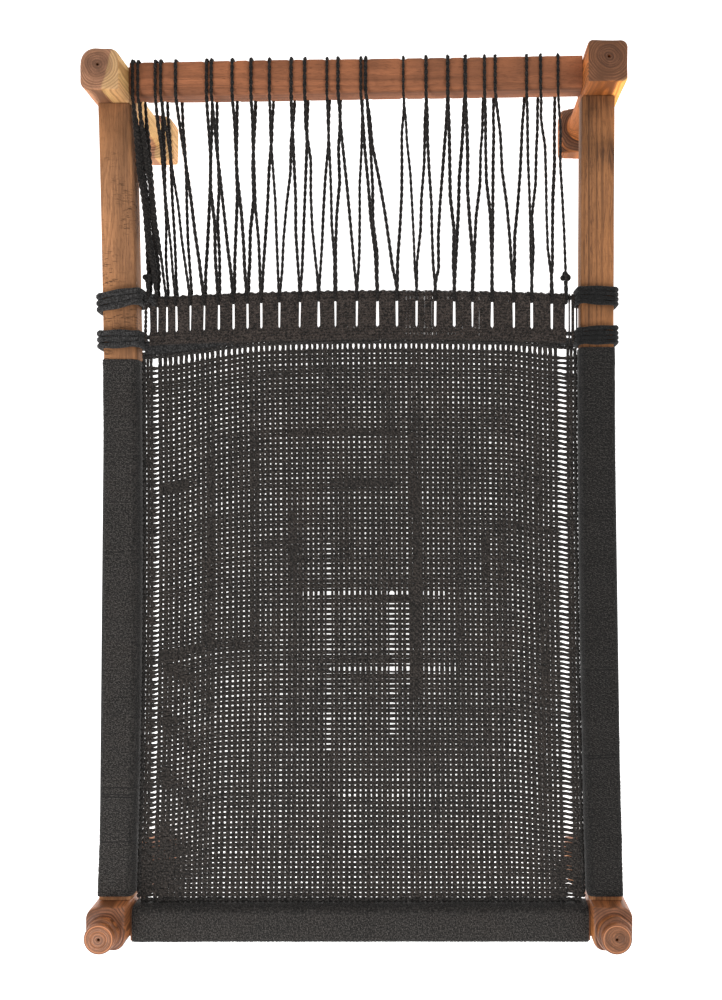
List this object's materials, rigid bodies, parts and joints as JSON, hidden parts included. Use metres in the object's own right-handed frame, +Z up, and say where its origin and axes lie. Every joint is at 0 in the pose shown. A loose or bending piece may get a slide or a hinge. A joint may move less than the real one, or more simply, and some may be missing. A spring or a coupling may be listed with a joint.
{
  "type": "woven string daybed",
  "caption": "Charpoy: a low wooden daybed with turned legs, four rails and a black string web, tightened by cord lacing at its foot end.",
  "frame": {"origin": "on the floor, under the middle of the bed's bounding box", "axes": "+Z up, +Y along the bed towards the laced foot end, +X to the right when the foot end is ahead"},
  "size_m": [1.128, 1.856, 0.45],
  "materials": {
    "pale_leg_wood": "rough hewn, end grain with rings, pale sapwood on one side",
    "dark_leg_wood": "rough hewn, dark end grain with rings, orange side grain",
    "turned_leg_wood": "turned and oiled, soft shine",
    "rail_wood": "sawn, worn and oiled, reddish brown",
    "wound_string": "black cotton string wound side by side",
    "woven_string": "black cotton string, woven",
    "rope": "black rope bound with fine string",
    "lacing": "black two-ply cord"
  },
  "bodies": {
    "root": {"leg_foot_left": "pale_leg_wood", "leg_foot_right": "dark_leg_wood", "leg_head_left": "turned_leg_wood", "leg_head_right": "turned_leg_wood", "side_rail_left": "rail_wood", "side_rail_right": "rail_wood", "foot_rail": "rail_wood", "head_rail": "rail_wood", "side_wrap_left": "wound_string", "side_wrap_right": "wound_string", "head_wrap": "wound_string", "woven_web": "woven_string", "selvedge_left": "woven_string", "selvedge_right": "woven_string", "selvedge_head": "woven_string", "twined_foot_edge": "woven_string", "upper_cross_rope": "rope", "lower_cross_rope": "rope", "band_bundles": "woven_string", "lashing_upper_left": "rope", "lashing_upper_right": "rope", "lashing_lower_left": "rope", "lashing_lower_right": "rope", "lacing_cord": "lacing", "lacing_knot_left": "lacing", "lacing_knot_right": "lacing"}
  },
  "joints": []
}
